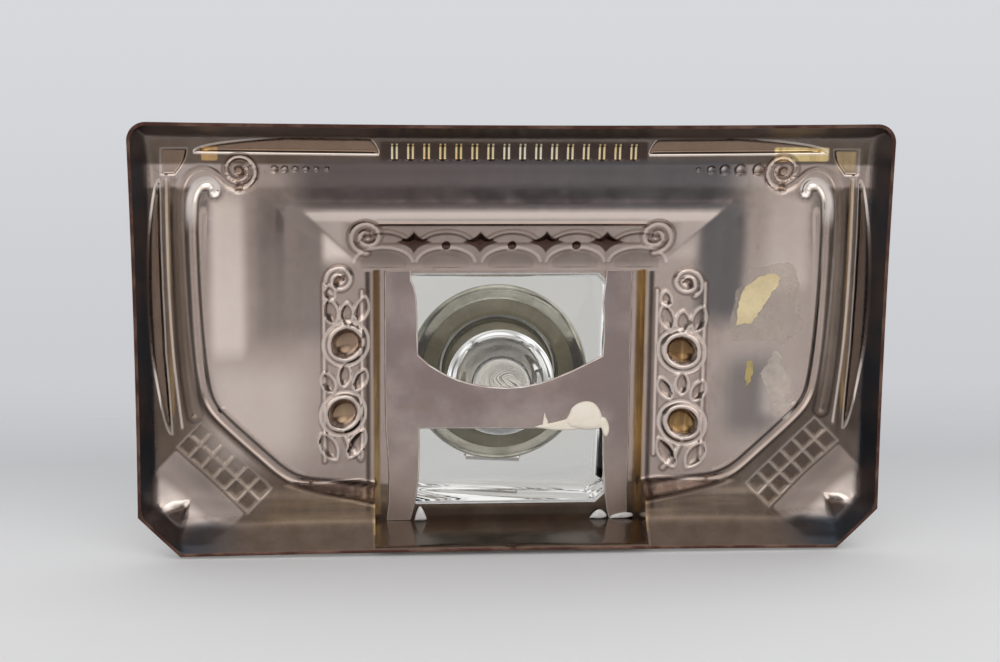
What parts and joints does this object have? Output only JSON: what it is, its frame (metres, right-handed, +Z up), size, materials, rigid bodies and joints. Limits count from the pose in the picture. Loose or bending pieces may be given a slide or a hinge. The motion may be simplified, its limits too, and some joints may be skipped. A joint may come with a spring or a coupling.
{
  "type": "desk inkstand",
  "caption": "Stamped metal desk inkstand with a relief border, a rear plinth, a square glass inkwell and a hinged domed lid.",
  "frame": {"origin": "centre of the foot on the desk", "axes": "+Z up, -Y towards the pen side (front), +X to the right seen from above with the front below"},
  "size_m": [0.216, 0.125, 0.0864],
  "materials": {
    "silver_plate": "tarnished silver plate on stamped brass sheet",
    "tinned_sheet": "dull rolled sheet with hand-cut edges",
    "polished_plate": "polished silver plate on spun brass",
    "steel_pin": "drawn wire",
    "clear_glass": "clear cast and polished glass",
    "plaster": "rough dabbed plaster",
    "cement": "aged bedding cement"
  },
  "bodies": {
    "base": {"tray": "silver_plate", "well_plate": "tinned_sheet", "plaster_bar_dab": "plaster", "plaster_left_dab": "plaster", "plaster_right_dab": "plaster", "glass_bedding": "plaster", "glass_block": "clear_glass", "collar_cement": "cement", "collar": "polished_plate", "collar_knuckles": "polished_plate", "hinge_pin": "steel_pin"},
    "lid": {"lid": "polished_plate", "lid_knuckle": "polished_plate", "finial": "polished_plate", "finial_rivet": "steel_pin", "finial_washer": "steel_pin"}
  },
  "joints": [
    {"name": "lid_hinge", "type": "hinge", "parent": "base", "child": "lid", "pos_m": [-0.0015, 0.0445, 0.064], "axis": [-1, 0, 0], "range_deg": [0, 105]}
  ]
}
